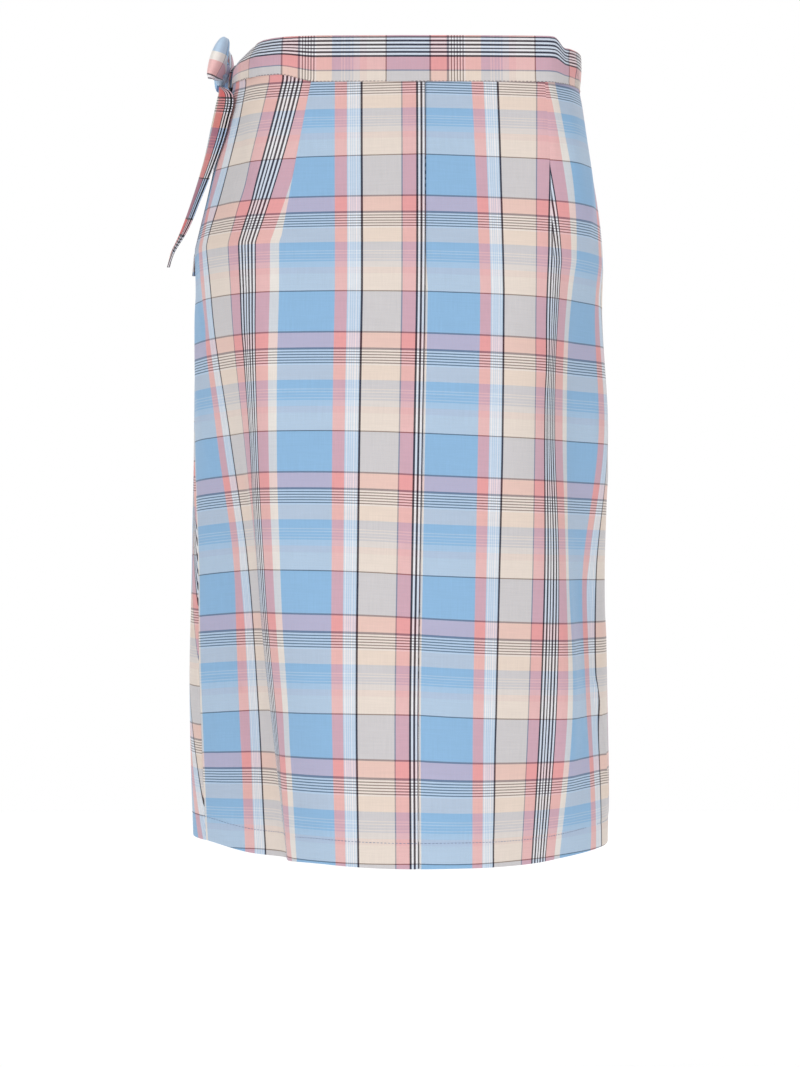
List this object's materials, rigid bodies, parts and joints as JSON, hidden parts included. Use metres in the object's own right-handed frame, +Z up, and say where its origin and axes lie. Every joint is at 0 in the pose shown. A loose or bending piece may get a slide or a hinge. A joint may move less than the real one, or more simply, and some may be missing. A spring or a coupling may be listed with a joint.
{
  "type": "wrap skirt",
  "caption": "Knee-length wrap skirt in woven check cotton, worn form, with darts, a straight waistband and a side bow.",
  "frame": {"origin": "centre of the waist opening, halfway up the waistband, where the wearer's waist holds the skirt", "axes": "+Z up out of the waist opening, the wearer's front faces -Y, the wearer's left is +X"},
  "size_m": [0.3764, 0.281, 0.6906],
  "materials": {
    "check_cotton": "woven check cotton, matt, soft",
    "waistband_cotton": "woven check cotton, doubled and pressed",
    "tie_cotton": "woven check cotton, doubled strip"
  },
  "bodies": {
    "root": {"back_left": "check_cotton", "back_right": "check_cotton", "front_under": "check_cotton", "front_over": "check_cotton", "waistband_back": "waistband_cotton", "waistband_under": "waistband_cotton", "waistband_over": "waistband_cotton", "bow_knot": "tie_cotton", "bow_loop_back": "tie_cotton", "bow_loop_front": "tie_cotton", "bow_tail_back": "tie_cotton", "bow_tail_front": "tie_cotton"}
  },
  "joints": []
}
